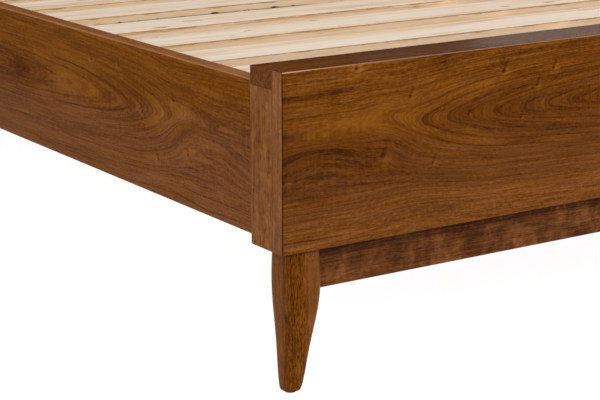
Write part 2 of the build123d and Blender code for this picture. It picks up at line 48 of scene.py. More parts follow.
MM = 1000.0  # millimetres in a metre; all finishes below are drawn in millimetres
print("pieces in the frame:", len(nodes))
print("lowest and highest corner (m):", tuple(cad_box[0]), tuple(cad_box[1]))

# %% [markdown]
# ## The camera
#
# The bed is looked at from hip height, in front of its left foot corner, where the footboard, the
# side rail and a leg all meet. The camera could be placed by eye, but it is easier to move it
# later if it hangs from something real, so its place is measured from the top left corner of the
# footboard. A long lens keeps the edges nearly parallel.

# %% Place the camera
panel_low, panel_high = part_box("foot_panel_edge_left")
corner = Vector((panel_low.x, panel_low.y, panel_high.z))
camera_offset = Vector((-1.1678, -1.8125, 0.3971))  # from that corner to the camera, in metres
turn_right = math.radians(33.41)
look_down = math.radians(14.42)
roll = math.radians(-0.144)

forward = Vector(
    (
        math.sin(turn_right) * math.cos(look_down),
        math.cos(turn_right) * math.cos(look_down),
        -math.sin(look_down),
    )
)
level_right = Vector((math.cos(turn_right), -math.sin(turn_right), 0))
level_up = level_right.cross(forward)
right = math.cos(roll) * level_right + math.sin(roll) * level_up
up = right.cross(forward)

camera_data = bpy.data.cameras.new("camera")
camera_data.lens = 109.26
camera_data.sensor_width = 36
camera_data.clip_end = 50
camera = bpy.data.objects.new("camera", camera_data)
bpy.context.scene.collection.objects.link(camera)
turned = Matrix((right, up, -forward)).transposed()
camera.matrix_world = Matrix.Translation(corner + camera_offset) @ turned.to_4x4()
bpy.context.scene.camera = camera
bpy.context.scene.view_settings.view_transform = "Standard"
print("camera height (m):", round(camera.location.z, 3))

# %% [markdown]
# ## Shader maths written as Python
#
# A wood finish needs a hundred or so small sums. They could be wired by hand in the shader
# editor, but as text they are easier to read and to change. So one small class stands for the
# output of a node and knows how to add, multiply and compare: an expression on such values adds
# the Math nodes that work it out. Colours don't go through it, because a Math node turns a
# colour grey.


# %% A value that can be used in sums
class Value:
    """The output of a shader node, ready for arithmetic."""

    def __init__(self, finish, socket):
        self.finish = finish
        self.socket = socket

    def output(self, key):
        """Another output of the same node."""
        return Value(self.finish, self.socket.node.outputs[key])

    def sum_of(self, operation, *values):
        """What a Math node makes of these values."""
        return self.finish.node("ShaderNodeMath", {"operation": operation}, dict(enumerate(values)))

    def __add__(self, other):
        return self.sum_of("ADD", self, other)

    def __sub__(self, other):
        return self.sum_of("SUBTRACT", self, other)

    def __rsub__(self, other):
        return self.sum_of("SUBTRACT", other, self)

    def __mul__(self, other):
        return self.sum_of("MULTIPLY", self, other)

    def __truediv__(self, other):
        return self.sum_of("DIVIDE", self, other)

    def __pow__(self, other):
        return self.sum_of("POWER", self, other)

    def __abs__(self):
        return self.sum_of("ABSOLUTE", self)

    def exp(self):
        return self.sum_of("EXPONENT", self)

    def floor(self):
        return self.sum_of("FLOOR", self)

    def fraction(self):
        return self.sum_of("FRACT", self)

    def or_more(self, other):
        """The larger of the two."""
        return self.sum_of("MAXIMUM", self, other)

    def or_less(self, other):
        """The smaller of the two."""
        return self.sum_of("MINIMUM", self, other)

    __radd__ = __add__
    __rmul__ = __mul__


print("a value takes part in sums with + - * / ** and abs()")

# %% [markdown]
# ## A finish is a tree of nodes
#
# Every material here is a small tree of nodes, and so is the world. Blender can add a node, set it
# up and link it in four or five lines each, but that soon hides the idea behind the bookkeeping.
# So one method adds any node: it takes the node's type, then its settings, then what goes into its
# sockets, be it a plain value or the output of another node.


# %% A finish being made
class Finish:
    """A material, or the world, being made: it adds nodes and hands back their outputs."""

    def __init__(self, name, world=None):
        if world is None:
            self.material = bpy.data.materials.new(name)
            self.material.use_nodes = True
            self.tree = self.material.node_tree
        else:
            self.tree = world.node_tree
        self.tree.nodes.clear()

    def node(self, kind, settings=None, inputs=None, output=0):
        """Adds a node: first its settings, then what goes into its sockets."""
        made = self.tree.nodes.new(kind)
        for name, value in (settings or {}).items():
            if name == "stops":
                self.set_stops(made.color_ramp, value)
            else:
                setattr(made, name, value)
        for key, value in (inputs or {}).items():
            if isinstance(value, Value):
                self.tree.links.new(value.socket, made.inputs[key])
            else:
                made.inputs[key].default_value = value
        return Value(self, made.outputs[output]) if len(made.outputs) else None

    @staticmethod
    def set_stops(ramp, stops):
        while len(ramp.elements) < len(stops):
            ramp.elements.new(0.5)
        for element, (place, colour) in zip(ramp.elements, stops):
            element.position = place
            element.color = colour


print("materials before the first finish:", len(bpy.data.materials))

# %% [markdown]
# ## Colours and soft steps
#
# A maker knows colours as they look on a screen, from 0 to 255, and a renderer knows them as
# amounts of light, so one helper turns the first into the second. Few edges on real wood are
# sharp. A comparison would cut them like paper, so nearly every change of finish here goes through
# a soft step instead, and that step also blends two colours.


# %% Colours and soft steps
def paint(red, green, blue):
    """A colour given as it looks on a screen, 0 to 255, turned into the light it stands for."""
    linear = []
    for part in (red, green, blue):
        share = part / 255
        linear.append(share / 12.92 if share <= 0.04045 else ((share + 0.055) / 1.055) ** 2.4)
    return (*linear, 1.0)


def grey(level):
    return (level, level, level, 1.0)


def ease(value, start, end, low=0.0, high=1.0):
    """Runs smoothly from low to high as value goes from start to end, and stays there."""
    return value.finish.node(
        "ShaderNodeMapRange",
        {"interpolation_type": "SMOOTHSTEP"},
        {"Value": value, "From Min": start, "From Max": end, "To Min": low, "To Max": high},
    )


def fade(value, start, end):
    """Runs smoothly from 1 to 0 as value goes from start to end."""
    return ease(value, start, end, 1.0, 0.0)


def blend_colour(share, first, second):
    """The first colour where share is 0, the second where it is 1."""
    return share.finish.node("ShaderNodeMix", {"data_type": "RGBA"}, {0: share, 6: first, 7: second}, 2)


print("a middle walnut brown as light:", [round(part, 3) for part in paint(110, 60, 9)[:3]])

# %% [markdown]
# ## The floor
#
# A studio floor is a white sweep that runs out of sight. A plain white floor would never come
# out quite white, as it lies in the soft shade of the bed. So the camera sees a floor that glows
# a little by itself and still takes a faint shadow. Soft light meets ordinary pale paint, which
# throws light back up under the rails. In the lacquer the floor shows as a pool of light near the
# bed that fades with the distance, as where a lamp lights only the middle of a studio.

# %% Lay the floor
FLOOR_REACH = 14.0
PALE_PAINT = grey(0.80)
POOL_SIDES = 1.6  # how much faster the pool of light fades beside the bed than beyond its ends
floor_mesh = bpy.data.meshes.new("floor")
shape = bmesh.new()
bmesh.ops.create_grid(shape, x_segments=1, y_segments=1, size=FLOOR_REACH)
shape.to_mesh(floor_mesh)
shape.free()
floor = bpy.data.objects.new("floor", floor_mesh)
bpy.context.scene.collection.objects.link(floor)


def kinds_of_look(finish):
    """1 where the camera looks, through glass or not, and 1 where a reflection does."""
    path = finish.node("ShaderNodeLightPath")
    return path.or_more(path.output("Is Transmission Ray")), path.output("Is Glossy Ray")


def floor_finish():
    finish = Finish("white_floor")
    plain, in_gloss = kinds_of_look(finish)
    lit = finish.node("ShaderNodeBsdfDiffuse", {}, {"Color": PALE_PAINT})
    glow = finish.node("ShaderNodeEmission", {}, {"Color": grey(1.0), "Strength": 0.93})
    faint = finish.node("ShaderNodeBsdfDiffuse", {}, {"Color": grey(0.16)})
    bright = finish.node("ShaderNodeAddShader", {}, {0: glow, 1: faint})
    place = finish.node("ShaderNodeTexCoord", {}, {}, "Object")
    x = finish.node("ShaderNodeSeparateXYZ", {}, {0: place})
    beside = ((abs(x) - cad_box[1].x) * POOL_SIDES).or_more(0.0)
    beyond = (abs(x.output(1)) - cad_box[1].y).or_more(0.0)
    away = (beside * beside + beyond * beyond) ** 0.5
    pool = ease(away, 0.3, 1.5, 0.55, 0.04)
    mirrored = finish.node("ShaderNodeEmission", {}, {"Color": pool, "Strength": 1.0})
    shown = finish.node("ShaderNodeMixShader", {}, {0: in_gloss, 1: lit, 2: mirrored})
    shown = finish.node("ShaderNodeMixShader", {}, {0: plain, 1: shown, 2: bright})
    finish.node("ShaderNodeOutputMaterial", {}, {"Surface": shown})
    return finish.material


floor_mesh.materials.append(floor_finish())
print("floor (m):", 2 * FLOOR_REACH, "square")

# %% [markdown]
# ## The room
#
# The world is white to the camera and a soft even grey to the pieces, so that the background
# costs the bed no light. A picture of a real studio could stand in for it, but a ramp from low to
# high does as well and can be read. In it lacquer and metal see a studio as it is usually lit: the
# white sweep low down, an unlit ceiling above, and a little light again from overhead.

# %% Light the room
SOFT_LEVEL = 0.36  # brightness of the even grey that the pieces are lit by
world = bpy.data.worlds.new("studio")
bpy.context.scene.world = world
world.use_nodes = True
air = Finish("studio", world)
upward = air.node("ShaderNodeTexCoord", {}, {}, "Generated")
height = air.node("ShaderNodeSeparateXYZ", {}, {0: upward}, 2)
room_stops = [(0.0, grey(1.0)), (0.02, grey(1.0)), (0.07, grey(0.015)), (0.6, grey(0.03)), (1.0, grey(0.2))]
room_tone = air.node("ShaderNodeValToRGB", {"stops": room_stops}, {0: height})
soft = air.node("ShaderNodeBackground", {}, {"Color": grey(1.0), "Strength": SOFT_LEVEL})
white = air.node("ShaderNodeBackground", {}, {"Color": grey(1.0), "Strength": 1.0})
room = air.node("ShaderNodeBackground", {}, {"Color": room_tone, "Strength": 1.0})
plain, in_gloss = kinds_of_look(air)
blend = air.node("ShaderNodeMixShader", {}, {0: in_gloss, 1: soft, 2: room})
blend = air.node("ShaderNodeMixShader", {}, {0: plain, 1: blend, 2: white})
air.node("ShaderNodeOutputWorld", {}, {"Surface": blend})
print("nodes in the room:", len(air.tree.nodes))

# %% [markdown]
# ## The lamps
#
# One big lamp would be simpler, but it leaves a face of the corner dark. So two large soft boxes
# stand left and right of the camera and light both tall faces alike. The right one is low enough
# that the apron under the footboard lies in a short, soft shadow. A panel overhead lights the
# slats. One behind lights the headboard's back, and is kept out of reflections so that it leaves
# no glare on the lacquer in front. A wide window far behind on the right is there for its
# reflection along the footboard's cap.


# %% Set up the lamps
def soft_lamp(name, place, aim, width, height, power, mirrored=True):
    """A rectangular soft box at place, facing aim, both in metres. The camera doesn't see it."""
    data = bpy.data.lights.new(name, "AREA")
    data.shape = "RECTANGLE"
    data.size = width
    data.size_y = height
    data.energy = power
    lamp = bpy.data.objects.new(name, data)
    lamp.location = place
    lamp.rotation_euler = (Vector(aim) - Vector(place)).to_track_quat("-Z", "Y").to_euler()
    lamp.visible_camera = False
    lamp.visible_glossy = mirrored
    bpy.context.scene.collection.objects.link(lamp)


foot_corner = (corner.x, corner.y, 0.3)
headboard_back = (0, cad_box[1].y, 0.5)
soft_lamp("left_softbox", (-4.6, -0.6, 2.4), foot_corner, 3.0, 2.2, power=92)
soft_lamp("right_softbox", (1.4, -5.0, 2.75), foot_corner, 2.6, 1.5, power=150)
soft_lamp("overhead", (0.8, -0.6, 4.6), (0, -0.2, 0), 3.6, 3.6, power=65)
soft_lamp("far_window", (4.56, 2.11, 1.55), (-0.47, -1.16, 1.55), 3.9, 2.0, power=6.5)
soft_lamp("rear_softbox", (2.6, 6.0, 2.4), headboard_back, 3.0, 2.0, power=110, mirrored=False)

# %% [markdown]
# ## How wood is painted here
#
# Wood is a stack of growth rings cut open by a board's face. Image textures could show that, but
# they repeat and slide. Here each board gets its own small map: how far a point lies along the
# board, how deep below its top edge, and how far into its thickness, all in millimetres. From
# those three comes one number, the ring coordinate. Everything else - dark late wood, fine
# streaks, open pores, the slow drift of colour - follows that number, so it bends round knots and
# arches just as real figure does.


# %% The map of a board
def position(finish):
    """x, y and z of the shaded point in millimetres."""
    place = finish.node("ShaderNodeTexCoord", {}, {}, "Object")
    scaled = finish.node("ShaderNodeVectorMath", {"operation": "SCALE"}, {0: place, "Scale": MM})
    parts = finish.node("ShaderNodeSeparateXYZ", {}, {0: scaled})
    return parts, parts.output(1), parts.output(2)


def vector(finish, x, y, z=0.0):
    return finish.node("ShaderNodeCombineXYZ", {}, {0: x, 1: y, 2: z})


bed_size = [round((high - low) * MM) for low, high in zip(*cad_box)]
print("the maps reach over a bed of", bed_size, "mm")

# %% [markdown]
# ## Noise, humps and spots
#
# Three shapes are enough to draw with on such a map: a noise for what is the same all over a
# board, a hump for a line at one place, and a soft spot for a patch of its own. Painting them by
# hand would look as good from close by, but these can be moved by changing a number.

# %% Noise, humps and spots
SPOT_REACH = 1.7  # how far a spot reaches from its place, in widths


def noise(finish, x, y, z=0.0, detail=2.0, roughness=0.5):
    """Smooth noise about 0, mostly within -1 and 1, one lump per unit of x, y or z."""
    made = finish.node(
        "ShaderNodeTexNoise",
        {"noise_dimensions": "3D", "normalize": True},
        {"Vector": vector(finish, x, y, z), "Scale": 1.0, "Detail": detail, "Roughness": roughness},
    )
    return (made - 0.5) * 4.0


def hump(value, centre, width):
    """A bell curve: 1 at centre, falling to 0 a few widths away."""
    offset = (value - centre) / width
    return (offset * offset * -1.0).exp()


def spot(flat, place, width, height):
    """A soft spot on the flat map of a board: 1 at its place and 0 at the end of its reach."""
    scale = (1 / width, 1 / height, 0.0)
    shift = (-place[0] / width, -place[1] / height, 0.0)
    offset = flat.finish.node(
        "ShaderNodeVectorMath", {"operation": "MULTIPLY_ADD"}, {0: flat, 1: scale, 2: shift}
    )
    distance = flat.finish.node("ShaderNodeVectorMath", {"operation": "LENGTH"}, {0: offset}, 1)
    return fade(distance, 0.0, SPOT_REACH)


print("a spot ends at", SPOT_REACH, "times its width")

# %% [markdown]
# ## Light and dark of the wood
#
# A board shows its grain at several scales at once, and a single stretched noise would look like
# brushed plastic. Late wood darkens slowly across each ring and stops at a thin edge, and no two
# rings are equally strong. Finer streaks and pores run with the ring coordinate and are long along
# the board. A faint ripple crosses them, where the fibres wave. Each is a small noise, and their
# sum is one tone about 0 that later picks a colour.

# %% Light and dark of the wood
RING_WIDTH = 12.0  # of a growth ring cut flat by the saw


def growth_rings(finish, ring, along, ring_width, seed):
    """How dark the late wood is: slowly darker across each ring, up to a thin edge."""
    uneven = ring + 3.0 * noise(finish, ring / 29.0, seed, along / 900.0, detail=0.0)
    count = uneven / ring_width
    part = count.fraction()
    layer = count.floor()
    strength = ease(noise(finish, layer * 3.7, seed + 5.1, along / 260.0, detail=0.0), -0.5, 0.8)
    late_wood = part ** 2.5 * fade(part, 0.90, 1.0)
    edge = ease(part, 0.82, 0.92) * fade(part, 0.92, 1.0)
    return (0.35 * late_wood + 0.45 * edge) * strength


def wood_tone(finish, ring, along, other, ring_width=RING_WIDTH, seed=0.0):
    """Light and dark of the wood, about 0, from its ring coordinate and the run along the board.

    other is a third way through the board, so that its faces differ, and seed picks the board.
    """
    band = noise(finish, ring / 24.0, along / 380.0, seed + 9.0, detail=1.0)
    line = noise(finish, ring / 5.0, along / 190.0, other / 9.0 + seed, detail=1.0)
    vein = fade(abs(line), 0.0, 0.13)
    streak = noise(finish, ring / 2.6, along / 70.0, other / 6.0 + seed + 3.0, detail=2.0, roughness=0.6)
    fibre = noise(finish, ring / 0.9, along / 9.0, other / 1.5 + seed, detail=2.0, roughness=0.7)
    ripple = noise(finish, along / 3.5, ring / 7.0, other / 5.0 + seed, detail=1.0)
    tone = 0.25 * band + 0.14 * line + 0.58 * streak + 0.62 * fibre + 0.18 * ripple + 0.06
    return tone - 0.20 * vein - growth_rings(finish, ring, along, ring_width, seed)


print("a growth ring is usually", RING_WIDTH, "mm wide")

# %% [markdown]
# ## Stain
#
# The same stain looks different on different cuts: golden where flat-sawn veneer faces the light,
# russet in its darker half, rosy on posts and edges, and dark where end grain or handling took up
# more of it. One brown, lighter and darker, would look like paint. So each cut has a colour ramp
# of its own, which turns the tone into a colour, from pores to bright fibres.


# %% Stain colours
def even_stops(*colours):
    """The stops of a ramp, evenly spaced from 0 to 1."""
    last = len(colours) - 1
    return [(place / last, paint(*colour)) for place, colour in enumerate(colours)]


GOLDEN = even_stops((58, 27, 2), (87, 44, 3), (110, 60, 9), (131, 79, 17), (156, 104, 38))
RUSSET = even_stops((62, 31, 10), (90, 48, 15), (110, 63, 24), (129, 77, 33), (150, 97, 54))
ROSY = even_stops((74, 40, 19), (101, 58, 29), (121, 74, 40), (137, 87, 50), (156, 108, 70))
DARK = even_stops((46, 22, 8), (68, 36, 14), (92, 51, 22), (112, 66, 34), (130, 80, 46))
GLUE_LINE = paint(22, 8, 2)
JOINT_LINE = paint(38, 18, 9)


def stain(tone, stops, contrast=0.40, middle=0.50):
    """The colour of wood from its tone; contrast and middle place the tone on the ramp."""
    return tone.finish.node("ShaderNodeValToRGB", {"stops": stops}, {0: tone * contrast + middle})


print("stains, each from dark to light in", len(GOLDEN), "steps: golden, russet, rosy, dark")

# %% [markdown]
# ## Lacquer
#
# A satin lacquer covers all the stained wood. It fills the pores without quite hiding them, so
# the tone also drives a very shallow bump, and bright, dense fibres are a touch glossier. It could
# be a clear coat over the shader, but this one is thin and matt and mirrors little, and for that
# it is enough to turn the shader's own gloss down.

# %% Lacquer
SATIN = 0.30  # roughness of the lacquer on most pieces
POLISHED = 0.14  # roughness where it is rubbed smooth
GLOSS = 0.05  # how strongly the lacquer mirrors, where plain plastic has 0.5


def shade(finish, colour, rough, normal, specular, metallic=0.0):
    """Ends a finish with one shader and gives back the material."""
    inputs = {
        "Base Color": colour,
        "Roughness": rough,
        "Metallic": metallic,
        "Specular IOR Level": specular,
        "Normal": normal,
    }
    shader = finish.node("ShaderNodeBsdfPrincipled", {}, inputs)
    finish.node("ShaderNodeOutputMaterial", {}, {"Surface": shader})
    return finish.material


def relief(height, strength, depth):
    """A shallow bump from a height; depth in metres."""
    return height.finish.node(
        "ShaderNodeBump", {}, {"Strength": strength, "Distance": depth, "Height": height}
    )


def lacquered(finish, colour, tone, rough=SATIN, gloss=GLOSS):
    """Ends a finish of stained wood: the lacquer's gloss, and the pores as a shallow relief."""
    return shade(finish, colour, rough - 0.04 * tone, relief(tone, 0.15, 0.0002), gloss)


print("lacquer: roughness", SATIN, "or, where polished,", POLISHED, "and gloss", GLOSS)

# %% [markdown]
# ## Dressing a piece
#
# The pieces are fixed, so a finish reaches them in one way only: the material goes into every slot
# that a piece has. That could be written out for each of them, but a helper also keeps a list of
# the pieces that are done, and the end of the lesson shows whether one was forgotten.

# %% Dressing a piece
dressed = set()


def dress(material, *names):
    """Puts a material in every slot of the named pieces."""
    for name in names:
        dressed.add(name)
        for place in nodes[name].material_slots:
            place.material = material
    print(material.name, "with", len(material.node_tree.nodes), "nodes on", len(names), "pieces")


print("pieces to dress:", len(nodes))

# %% [markdown]
# ## The figure of flat-sawn veneer
#
# The footboard's face is one sheet of flat-sawn walnut veneer, and its figure is what people
# remember. Such a cut runs lengthwise through the tree's growth cones, so the rings show as
# nested arches, here lying on their side and opening to the right. They could be drawn as a row
# of ellipses, but real arches share one flow. So the ring coordinate is the distance from a level
# line, less a drop that grows along the sheet: its contours are arches by themselves. A blunt
# nose keeps their tips round, and near the long edges the drop fades and the grain runs straight.

# %% The figure of flat-sawn veneer
TIP_LINE = 84.0  # how far below the top edge the arches have their tips
TIP_START = 175.0  # where the first tip lies, along the board
FULL_DROP = 73.0  # how far the rings fall from the first tip to the far end of the sheet
DROP_RUN = 181.0  # along the board, over which they do most of it
ARC_RUN = 330.0  # how far from its tip the dark line of an arch fades


def flowing_figure(along, depth, arch_place, arch_top, seed=0.0):
    """Ring coordinate of a flat-sawn sheet 230 mm deep.

    A broad arch of its own lies low down, at arch_place along the sheet and below arch_top.
    """
    finish = along.finish
    # Every line wavers a little, and low down they all rise over a broad arch.
    sway = 1.1 * noise(finish, along / 130.0, depth / 60.0, seed, detail=0.0)
    sway = sway + 0.35 * noise(finish, along / 26.0, depth / 30.0, seed + 2.0, detail=0.0)
    low_part = ease(depth, arch_top - 12, arch_top + 6) * fade(depth, arch_top + 6, 175.0)
    settled = depth + sway + 32.0 * hump(along, arch_place, 98.0) * low_part
    # Past the first tip the rings drop, fast at first, and less near the long edges.
    run = along - TIP_START
    past = 0.5 * (run + (run * run + 600.0) ** 0.5)
    drop = FULL_DROP - FULL_DROP * (past / -DROP_RUN).exp()
    reach = ease(depth, 0.0, 56.0, 0.55, 1.0) * ease(depth, 112.0, 200.0, 1.0, 0.3)
    # The tips are round, the first ones most of all, and the first lies a little higher.
    blunt = ease(along, 110.0, 240.0, 26.0, 13.0)
    dent = 13.0 * hump(along, 162.0, 38.0) * hump(depth, TIP_LINE, 34.0)
    offset = settled - TIP_LINE + dent
    return (offset * offset + blunt * blunt) ** 0.5 - blunt + FULL_DROP - drop * reach


def arcs(ring, along, places):
    """Dark outlines and soft brown fills inside the arches, each fading away from its tip."""
    dark = 0.0
    for place, width, weight, tip in places:
        dark = dark + weight * hump(ring, place, width) * ease(along, tip, tip + ARC_RUN, 1.0, 0.25)
    return dark


print("the first arch has its tip", TIP_START, "mm along and", TIP_LINE, "mm down")

# %% [markdown]
# ## Pin knots and patches
#
# Walnut has small knots, where twigs once left the trunk. A dark dot alone would look like a blot
# on the surface. A real knot pushes the rings aside, so each one here first swells the ring
# coordinate round it, and everything that follows the rings then flows past it. The lighter and
# darker patches of a sheet are simpler: soft spots that only change its tone.

# %% Pin knots and patches
KNOT_SWELL = 0.6  # how far a knot pushes the rings aside, as a share of its size


def patches(flat, places):
    """The sum of soft spots, each given by its place, width, height and weight."""
    total = 0.0
    for place, width, height, weight in places:
        total = total + weight * spot(flat, place, width, height)
    return total


def knotty_tone(along, depth, deep, ring, knots, arc_places, seed=0.0):
    """The tone of a sheet whose rings swell round small knots, each one dark and with a smear."""
    finish = along.finish
    flat = vector(finish, along, depth)
    leaning = vector(finish, along + 0.4 * depth, depth)
    swells = []
    for x, y, size in knots:
        swell = spot(flat, (x + 0.7 * size, y + 0.6 * size), 1.7 * size, 1.3 * size)
        swells.append(swell)
        ring = ring + KNOT_SWELL * size * swell
    tone = wood_tone(finish, ring, along, deep, seed=seed) - arcs(ring, along, arc_places)
    for swell, (x, y, size) in zip(swells, knots):
        smear_place = (x + 0.4 * y, y - 1.3 * size)
        tone = tone + 0.55 * swell - 1.2 * spot(flat, (x, y), 0.55 * size, 0.5 * size)
        tone = tone - 0.55 * spot(leaning, smear_place, 0.5 * size, 1.7 * size)
    return tone


print("a knot of 5 mm pushes the rings aside by", KNOT_SWELL * 5, "mm")

# %% [markdown]
# ## Light and dark of the footboard's face
#
# The sheet is laid so that both halves of the bed look alike: the map runs inwards from the
# nearer side. Noise alone would give some sheet of veneer, but a maker picks one for its figure.
# So over the noise lie the things that make this sheet itself and no other: its knots, the brown
# outlines of its arches, a calm golden patch, a darker belt across the middle.

# %% Tone of the footboard's face
# Knots: how far along the sheet, how far below its top edge, and their size.
FOOT_KNOTS = [
    (195, 50, 5),
    (153, 121, 7),
    (290, 84, 3),
    (233, 140, 4),
    (348, 33, 5),
    (433, 37, 5),
    (405, 57, 4),
    (378, 100, 3),
    (112, 5, 5),
    (3, 138, 5),
]
# Arcs: the ring that they follow, their width and weight, and where their tip lies along the sheet.
FOOT_ARCS = [
    (69, 1.2, 0.50, 175),
    (56, 1.4, 0.45, 222),
    (46, 1.5, 0.50, 258),
    (41, 4.0, 0.35, 262),
    (29, 1.4, 0.40, 345),
    (23, 4.5, 0.35, 355),
    (14, 4.0, 0.35, 460),
    (104, 3.5, 0.40, 0),
]
# Patches: their place, their width and height, and how much lighter or darker they are.
FOOT_PATCHES = [
    ((50, 135), 130, 38, -0.35),
    ((0, 80), 24, 5, -0.55),
    ((120, 18), 150, 40, 0.25),
    ((78, 40), 7, 26, -0.35),
    ((250, 16), 6, 18, -0.35),
    ((346, 20), 5, 14, -0.35),
]


def foot_panel_tone(along, depth, deep, ring):
    """The tone of the sheet, with its knots, arcs, light patches and dark ones."""
    flat = vector(along.finish, along, depth)
    tone = knotty_tone(along, depth, deep, ring, FOOT_KNOTS, FOOT_ARCS)
    calm = spot(flat, (112, 74), 70, 15)
    edges = ease(abs(depth - 112.0), 50.0, 95.0, 0.95, 1.25)
    tone = tone * (edges - 0.4 * calm) + 0.65 * calm - 0.10
    tone = tone - 0.16 * hump(depth, 120.0, 45.0) + 0.30 * hump(depth, 225.0, 45.0)
    return tone + patches(flat, FOOT_PATCHES)


print("footboard:", len(FOOT_KNOTS), "knots,", len(FOOT_ARCS), "arcs,", len(FOOT_PATCHES), "patches")

# %% [markdown]
# ## The footboard's face
#
# The slab is the part of the bed that people see and touch first. Its stain is redder in the lower
# half of the sheet than in the upper. A pale line along the top front edge is a painted highlight,
# brightest at the corner, where the rounded edge catches the light, and a dark glue line closes the
# joint with the edge band. Each could be a piece of its own, but at about a millimetre wide they
# need only colour.


# %% Finish of the footboard's face
def foot_panel_finish():
    finish = Finish("footboard_veneer")
    x, y, z = position(finish)
    left = corner.x * MM
    from_left = x - left
    along = from_left.or_less(-2 * left - from_left)
    depth = corner.z * MM - z
    deep = y - corner.y * MM
    ring = flowing_figure(along, depth, 60.0, 98.0) + deep
    tone = foot_panel_tone(along, depth, deep, ring)
    drift = noise(finish, ring / 7.0, 1.0, along / 120.0, detail=2.0)
    russet = 0.10 + 0.75 * ease(depth, 70.0, 170.0) + 0.80 * drift
    colour = blend_colour(russet, stain(tone, GOLDEN), stain(tone, RUSSET))
    upper = fade(depth, 0.05, 0.5)
    colour = blend_colour(upper, colour, stain(tone, DARK))
    # painted highlight: a pale line on the rounded top front edge, brightest at the corner
    arris_highlight = fade(depth + deep, 0.7, 1.4) * (0.32 + 0.6 * hump(along, 0.0, 60.0))
    colour = blend_colour(arris_highlight, colour, paint(206, 152, 118))
    colour = blend_colour(fade(along, 2.3, 3.4), colour, GLUE_LINE)
    return lacquered(finish, colour, tone, SATIN - 0.16 * upper)


dress(foot_panel_finish(), "foot_panel")

# %% [markdown]
# ## Light and dark of the side rails
#
# The rails wear the same kind of sheet as the footboard, started at the foot post. The footboard's
# own knots could serve again, but where the two faces meet at the corner the eye would find the
# repeat at once. So the rails have knots, arcs and patches in other places.

# %% Knots, arcs and patches of the side rails
# Their columns are those of the footboard's.
RAIL_KNOTS = [
    (163, 127, 5),
    (245, 148, 5),
    (200, 60, 4),
    (287, 88, 4),
    (353, 35, 4),
    (437, 38, 4),
]
RAIL_ARCS = [
    (59, 1.6, 0.50, 210),
    (46, 1.6, 0.45, 258),
    (32, 1.6, 0.45, 325),
    (22, 2.0, 0.40, 388),
    (76, 3.0, 0.45, 60),
    (40, 4.0, 0.25, 262),
    (96, 5.0, 0.30, 0),
]
RAIL_PATCHES = [
    ((150, 122), 34, 9, 0.35),
    ((190, 78), 40, 14, 0.12),
    ((250, 89), 42, 18, 0.40),
    ((540, 25), 130, 40, 0.15),
    ((720, 95), 90, 40, -0.40),
]
print("side rail:", len(RAIL_KNOTS), "knots,", len(RAIL_ARCS), "arcs,", len(RAIL_PATCHES), "patches")

# %% [markdown]
# ## The side rails
#
# The lower half of a rail is rosy, and its lacquer mirrors only half as much as the footboard's.
# Each rail could have a finish of its own, but both share one, because the map measures inwards
# from whichever outer face is nearer.

# %% Finish of the side rails
RAIL_GLOSS = 0.5 * GLOSS


def rail_map(finish):
    """Where a point lies on a side rail: along it from the foot post, below its top, into it."""
    x, y, z = position(finish)
    rail_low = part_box("side_rail_left")[0]
    along = y - rail_low.y * MM
    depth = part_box("rail_lipping_left")[1].z * MM - z
    deep = -rail_low.x * MM - abs(x)
    return along, depth, deep


def rail_veneer(finish, along, depth, deep):
    """Colour and tone of the veneer on a side rail."""
    ring = flowing_figure(along, depth, 92.0, 90.0, 7.0) + deep
    tone = knotty_tone(along, depth, deep, ring, RAIL_KNOTS, RAIL_ARCS, seed=3.0)
    tone = tone + patches(vector(finish, along, depth), RAIL_PATCHES)
    drift = noise(finish, ring / 7.0, 3.0, along / 120.0, detail=2.0)
    near_post = ease(along, 20.0, 200.0, 0.35, 0.0) * ease(depth, 20.0, 70.0)
    rosy = 0.80 * ease(depth - 0.06 * along, 15.0, 120.0) + near_post + 0.55 * drift - 0.10
    return blend_colour(rosy, stain(tone + 0.10, GOLDEN), stain(tone - 0.20, ROSY)), tone


def side_rail_finish():
    finish = Finish("side_rail_veneer")
    colour, tone = rail_veneer(finish, *rail_map(finish))
    return lacquered(finish, colour, tone, gloss=RAIL_GLOSS)


dress(side_rail_finish(), "side_rail_left", "side_rail_right")

# %% [markdown]
# ## The strip on top of the rail
#
# A solid strip covers the rail's upper edge, so that knees and mattress don't chip the veneer.
# From the side its face matches the rail. From above it is two strips of timber side by side with
# a fine joint, mitred against the post with a pale offcut, and a painted highlight runs pale along
# its outer edge. The joints could be modelled as gaps, but they are glued shut, so each is only a
# thin dark line.

# %% Finish of the strip on top of the rail
STRIP_JOINT = 13.6  # from the outer face to the joint between the two strips
OFFCUT_LENGTH = 88.0  # of the pale offcut, along its outer edge
MITRE_SLANT = 19.0 / 23.0  # how far the mitre runs along the rail for each millimetre inwards


def lipping_finish():
    finish = Finish("rail_lipping_timber")
    along, depth, deep = rail_map(finish)
    face, tone = rail_veneer(finish, along, depth, deep)
    grain = wood_tone(finish, deep * 1.3, along, depth, 9.0, 12.0)
    inner_strip = ease(deep, STRIP_JOINT - 0.6, STRIP_JOINT + 0.9)
    strip = blend_colour(inner_strip, stain(grain + 0.45, ROSY), stain(grain + 0.35, ROSY))
    strip = blend_colour(0.5 * hump(deep, STRIP_JOINT, 1.0), strip, paint(80, 44, 22))
    past_mitre = along - OFFCUT_LENGTH - deep * MITRE_SLANT
    strip = blend_colour(fade(past_mitre, -0.5, 0.5), strip, stain(grain + 0.85, ROSY))
    strip = blend_colour(ease(abs(past_mitre), 0.3, 1.0, 0.6, 0.0), strip, paint(50, 26, 12))
    upper = fade(depth, 0.1, 0.7)
    # painted highlight: a pale line on the rounded outer top edge
    arris_highlight = ease(depth + deep, 0.8, 1.8, 0.55, 0.0)
    colour = blend_colour(arris_highlight, blend_colour(upper, face, strip), paint(186, 128, 86))
    return lacquered(finish, colour, tone)


dress(lipping_finish(), "rail_lipping_left", "rail_lipping_right")

